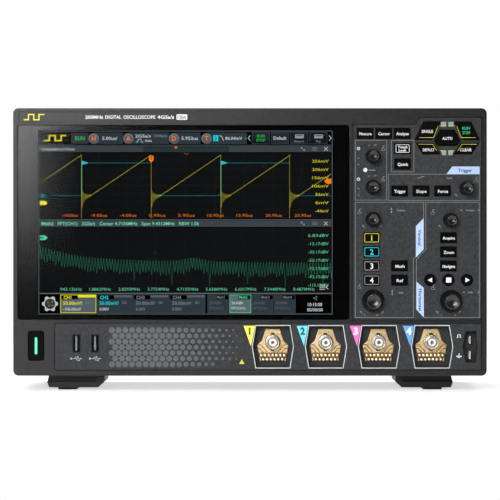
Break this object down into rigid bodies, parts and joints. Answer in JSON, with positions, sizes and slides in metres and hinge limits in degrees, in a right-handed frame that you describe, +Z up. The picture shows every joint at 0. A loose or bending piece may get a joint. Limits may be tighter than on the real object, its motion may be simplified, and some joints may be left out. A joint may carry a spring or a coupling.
{
  "type": "bench oscilloscope",
  "caption": "Bench oscilloscope with a wide screen, keys, turning knobs, coaxial input sockets, fold-out front legs and a folding carry handle.",
  "frame": {"origin": "middle of the bounding box in plan, at the height of the table that the pads stand on", "axes": "+X to the right seen from the front, +Y to the back, +Z up; the front face looks along -Y"},
  "size_m": [0.3582, 0.1206, 0.2147],
  "materials": {
    "case_plastic": "fine moulded texture, dark grey",
    "panel_plastic": "fine moulded texture, grey",
    "cover_glass": "polished, clear over the display",
    "display_module": "dark display face",
    "circuit_board": "green solder resist",
    "gold_plate": "gold coloured",
    "nickel_metal": "nickel plated",
    "foot_rubber": "dull",
    "supply_aluminium": "plain sheet",
    "black_plastic": "dull black",
    "screw_steel": "dark zinc",
    "power_plastic": "satin with a lit green bar",
    "handle_plastic": "satin black",
    "key_plastic": "soft black",
    "knob_plastic": "ribbed satin skirt and glossy dished top",
    "shaft_metal": "turned",
    "foot_plastic": "glossy black"
  },
  "bodies": {
    "case": {"front_bezel": "case_plastic", "screen_glass": "cover_glass", "lcd_panel": "display_module", "control_panel": "panel_plastic", "control_board": "circuit_board", "input_panel": "panel_plastic", "ground_plates": "gold_plate", "bnc_jacks": "nickel_metal", "usb_ports": "nickel_metal", "probe_terminals": "nickel_metal", "rear_cover": "case_plastic", "rubber_feet": "foot_rubber", "main_board": "circuit_board", "power_supply": "supply_aluminium", "fan_frame": "black_plastic", "screws": "screw_steel"},
    "carry_handle": {"carry_handle": "handle_plastic"},
    "encoder_shaft_horizontal_position": {"encoder_shaft_horizontal_position": "shaft_metal"},
    "encoder_shaft_horizontal_scale": {"encoder_shaft_horizontal_scale": "shaft_metal"},
    "encoder_shaft_multi_a": {"encoder_shaft_multi_a": "shaft_metal"},
    "encoder_shaft_multi_b": {"encoder_shaft_multi_b": "shaft_metal"},
    "encoder_shaft_trigger_level": {"encoder_shaft_trigger_level": "shaft_metal"},
    "encoder_shaft_vertical_position": {"encoder_shaft_vertical_position": "shaft_metal"},
    "encoder_shaft_vertical_scale": {"encoder_shaft_vertical_scale": "shaft_metal"},
    "fan_rotor": {"fan_rotor": "black_plastic"},
    "foot_leg_left": {"foot_leg_left": "foot_plastic"},
    "foot_leg_right": {"foot_leg_right": "foot_plastic"},
    "key_acquire": {"key_acquire": "key_plastic"},
    "key_analyse": {"key_analyse": "key_plastic"},
    "key_auto": {"key_auto": "key_plastic"},
    "key_back": {"key_back": "key_plastic"},
    "key_channel_1": {"key_channel_1": "key_plastic"},
    "key_channel_2": {"key_channel_2": "key_plastic"},
    "key_channel_3": {"key_channel_3": "key_plastic"},
    "key_channel_4": {"key_channel_4": "key_plastic"},
    "key_clear": {"key_clear": "key_plastic"},
    "key_cursor": {"key_cursor": "key_plastic"},
    "key_default": {"key_default": "key_plastic"},
    "key_force": {"key_force": "key_plastic"},
    "key_math": {"key_math": "key_plastic"},
    "key_measure": {"key_measure": "key_plastic"},
    "key_navigate": {"key_navigate": "key_plastic"},
    "key_play": {"key_play": "key_plastic"},
    "key_quick": {"key_quick": "key_plastic"},
    "key_ref": {"key_ref": "key_plastic"},
    "key_run_stop": {"key_run_stop": "key_plastic"},
    "key_single": {"key_single": "key_plastic"},
    "key_slope": {"key_slope": "key_plastic"},
    "key_stop": {"key_stop": "key_plastic"},
    "key_touch_lock": {"key_touch_lock": "key_plastic"},
    "key_trigger": {"key_trigger": "key_plastic"},
    "key_zoom": {"key_zoom": "key_plastic"},
    "knob_horizontal_position": {"knob_horizontal_position": "knob_plastic"},
    "knob_horizontal_scale": {"knob_horizontal_scale": "knob_plastic"},
    "knob_multi_a": {"knob_multi_a": "knob_plastic"},
    "knob_multi_b": {"knob_multi_b": "knob_plastic"},
    "knob_trigger_level": {"knob_trigger_level": "knob_plastic"},
    "knob_vertical_position": {"knob_vertical_position": "knob_plastic"},
    "knob_vertical_scale": {"knob_vertical_scale": "knob_plastic"},
    "power_button": {"power_button": "power_plastic"}
  },
  "joints": [
    {"name": "handle_raise", "type": "hinge", "parent": "case", "child": "carry_handle", "pos_m": [0, 0.04431, 0.20982], "axis": [-1, 0, 0], "range_deg": [0, 90]},
    {"name": "leg_left_fold", "type": "hinge", "parent": "case", "child": "foot_leg_left", "pos_m": [-0.12377, -0.01331, 0.0064], "axis": [-1, 0, 0], "range_deg": [0, 90]},
    {"name": "leg_right_fold", "type": "hinge", "parent": "case", "child": "foot_leg_right", "pos_m": [0.12377, -0.01331, 0.0064], "axis": [-1, 0, 0], "range_deg": [0, 90]},
    {"name": "power_press", "type": "slide", "parent": "case", "child": "power_button", "axis": [0, 1, 0], "range_m": [0, 0.0015], "stiffness_N_per_m": 400, "springref_m": -0.001},
    {"name": "fan_spin", "type": "hinge", "parent": "case", "child": "fan_rotor", "pos_m": [-0.08307, 0.03741, 0.132], "axis": [0, 1, 0], "continuous": true},
    {"name": "horizontal_position_turn", "type": "hinge", "parent": "case", "child": "encoder_shaft_horizontal_position", "pos_m": [0.15147, -0.04731, 0.1299], "axis": [0, 1, 0], "continuous": true},
    {"name": "horizontal_scale_turn", "type": "hinge", "parent": "case", "child": "encoder_shaft_horizontal_scale", "pos_m": [0.15177, -0.04731, 0.0687], "axis": [0, 1, 0], "continuous": true},
    {"name": "multi_a_turn", "type": "hinge", "parent": "case", "child": "encoder_shaft_multi_a", "pos_m": [0.09297, -0.04731, 0.1781], "axis": [0, 1, 0], "continuous": true},
    {"name": "multi_b_turn", "type": "hinge", "parent": "case", "child": "encoder_shaft_multi_b", "pos_m": [0.09297, -0.04731, 0.1549], "axis": [0, 1, 0], "continuous": true},
    {"name": "trigger_level_turn", "type": "hinge", "parent": "case", "child": "encoder_shaft_trigger_level", "pos_m": [0.16367, -0.04731, 0.1541], "axis": [0, 1, 0], "continuous": true},
    {"name": "vertical_position_turn", "type": "hinge", "parent": "case", "child": "encoder_shaft_vertical_position", "pos_m": [0.09297, -0.04731, 0.1306], "axis": [0, 1, 0], "continuous": true},
    {"name": "vertical_scale_turn", "type": "hinge", "parent": "case", "child": "encoder_shaft_vertical_scale", "pos_m": [0.09297, -0.04731, 0.069], "axis": [0, 1, 0], "continuous": true},
    {"name": "horizontal_position_push", "type": "slide", "parent": "encoder_shaft_horizontal_position", "child": "knob_horizontal_position", "axis": [0, 1, 0], "range_m": [0, 0.0005], "stiffness_N_per_m": 600, "springref_m": -0.001},
    {"name": "horizontal_scale_push", "type": "slide", "parent": "encoder_shaft_horizontal_scale", "child": "knob_horizontal_scale", "axis": [0, 1, 0], "range_m": [0, 0.0005], "stiffness_N_per_m": 600, "springref_m": -0.001},
    {"name": "multi_a_push", "type": "slide", "parent": "encoder_shaft_multi_a", "child": "knob_multi_a", "axis": [0, 1, 0], "range_m": [0, 0.0005], "stiffness_N_per_m": 600, "springref_m": -0.001},
    {"name": "multi_b_push", "type": "slide", "parent": "encoder_shaft_multi_b", "child": "knob_multi_b", "axis": [0, 1, 0], "range_m": [0, 0.0005], "stiffness_N_per_m": 600, "springref_m": -0.001},
    {"name": "trigger_level_push", "type": "slide", "parent": "encoder_shaft_trigger_level", "child": "knob_trigger_level", "axis": [0, 1, 0], "range_m": [0, 0.0005], "stiffness_N_per_m": 600, "springref_m": -0.001},
    {"name": "vertical_position_push", "type": "slide", "parent": "encoder_shaft_vertical_position", "child": "knob_vertical_position", "axis": [0, 1, 0], "range_m": [0, 0.0005], "stiffness_N_per_m": 600, "springref_m": -0.001},
    {"name": "vertical_scale_push", "type": "slide", "parent": "encoder_shaft_vertical_scale", "child": "knob_vertical_scale", "axis": [0, 1, 0], "range_m": [0, 0.0005], "stiffness_N_per_m": 600, "springref_m": -0.001},
    {"name": "key_acquire_press", "type": "slide", "parent": "case", "child": "key_acquire", "axis": [0, 1, 0], "range_m": [0, 0.001], "stiffness_N_per_m": 400, "springref_m": -0.001},
    {"name": "key_analyse_press", "type": "slide", "parent": "case", "child": "key_analyse", "axis": [0, 1, 0], "range_m": [0, 0.001], "stiffness_N_per_m": 400, "springref_m": -0.001},
    {"name": "key_auto_press", "type": "slide", "parent": "case", "child": "key_auto", "axis": [0, 1, 0], "range_m": [0, 0.001], "stiffness_N_per_m": 400, "springref_m": -0.001},
    {"name": "key_back_press", "type": "slide", "parent": "case", "child": "key_back", "axis": [0, 1, 0], "range_m": [0, 0.001], "stiffness_N_per_m": 400, "springref_m": -0.001},
    {"name": "key_channel_1_press", "type": "slide", "parent": "case", "child": "key_channel_1", "axis": [0, 1, 0], "range_m": [0, 0.001], "stiffness_N_per_m": 400, "springref_m": -0.001},
    {"name": "key_channel_2_press", "type": "slide", "parent": "case", "child": "key_channel_2", "axis": [0, 1, 0], "range_m": [0, 0.001], "stiffness_N_per_m": 400, "springref_m": -0.001},
    {"name": "key_channel_3_press", "type": "slide", "parent": "case", "child": "key_channel_3", "axis": [0, 1, 0], "range_m": [0, 0.001], "stiffness_N_per_m": 400, "springref_m": -0.001},
    {"name": "key_channel_4_press", "type": "slide", "parent": "case", "child": "key_channel_4", "axis": [0, 1, 0], "range_m": [0, 0.001], "stiffness_N_per_m": 400, "springref_m": -0.001},
    {"name": "key_clear_press", "type": "slide", "parent": "case", "child": "key_clear", "axis": [0, 1, 0], "range_m": [0, 0.001], "stiffness_N_per_m": 400, "springref_m": -0.001},
    {"name": "key_cursor_press", "type": "slide", "parent": "case", "child": "key_cursor", "axis": [0, 1, 0], "range_m": [0, 0.001], "stiffness_N_per_m": 400, "springref_m": -0.001},
    {"name": "key_default_press", "type": "slide", "parent": "case", "child": "key_default", "axis": [0, 1, 0], "range_m": [0, 0.001], "stiffness_N_per_m": 400, "springref_m": -0.001},
    {"name": "key_force_press", "type": "slide", "parent": "case", "child": "key_force", "axis": [0, 1, 0], "range_m": [0, 0.001], "stiffness_N_per_m": 400, "springref_m": -0.001},
    {"name": "key_math_press", "type": "slide", "parent": "case", "child": "key_math", "axis": [0, 1, 0], "range_m": [0, 0.001], "stiffness_N_per_m": 400, "springref_m": -0.001},
    {"name": "key_measure_press", "type": "slide", "parent": "case", "child": "key_measure", "axis": [0, 1, 0], "range_m": [0, 0.001], "stiffness_N_per_m": 400, "springref_m": -0.001},
    {"name": "key_navigate_press", "type": "slide", "parent": "case", "child": "key_navigate", "axis": [0, 1, 0], "range_m": [0, 0.001], "stiffness_N_per_m": 400, "springref_m": -0.001},
    {"name": "key_play_press", "type": "slide", "parent": "case", "child": "key_play", "axis": [0, 1, 0], "range_m": [0, 0.001], "stiffness_N_per_m": 400, "springref_m": -0.001},
    {"name": "key_quick_press", "type": "slide", "parent": "case", "child": "key_quick", "axis": [0, 1, 0], "range_m": [0, 0.001], "stiffness_N_per_m": 400, "springref_m": -0.001},
    {"name": "key_ref_press", "type": "slide", "parent": "case", "child": "key_ref", "axis": [0, 1, 0], "range_m": [0, 0.001], "stiffness_N_per_m": 400, "springref_m": -0.001},
    {"name": "key_run_stop_press", "type": "slide", "parent": "case", "child": "key_run_stop", "axis": [0, 1, 0], "range_m": [0, 0.001], "stiffness_N_per_m": 400, "springref_m": -0.001},
    {"name": "key_single_press", "type": "slide", "parent": "case", "child": "key_single", "axis": [0, 1, 0], "range_m": [0, 0.001], "stiffness_N_per_m": 400, "springref_m": -0.001},
    {"name": "key_slope_press", "type": "slide", "parent": "case", "child": "key_slope", "axis": [0, 1, 0], "range_m": [0, 0.001], "stiffness_N_per_m": 400, "springref_m": -0.001},
    {"name": "key_stop_press", "type": "slide", "parent": "case", "child": "key_stop", "axis": [0, 1, 0], "range_m": [0, 0.001], "stiffness_N_per_m": 400, "springref_m": -0.001},
    {"name": "key_touch_lock_press", "type": "slide", "parent": "case", "child": "key_touch_lock", "axis": [0, 1, 0], "range_m": [0, 0.001], "stiffness_N_per_m": 400, "springref_m": -0.001},
    {"name": "key_trigger_press", "type": "slide", "parent": "case", "child": "key_trigger", "axis": [0, 1, 0], "range_m": [0, 0.001], "stiffness_N_per_m": 400, "springref_m": -0.001},
    {"name": "key_zoom_press", "type": "slide", "parent": "case", "child": "key_zoom", "axis": [0, 1, 0], "range_m": [0, 0.001], "stiffness_N_per_m": 400, "springref_m": -0.001}
  ]
}
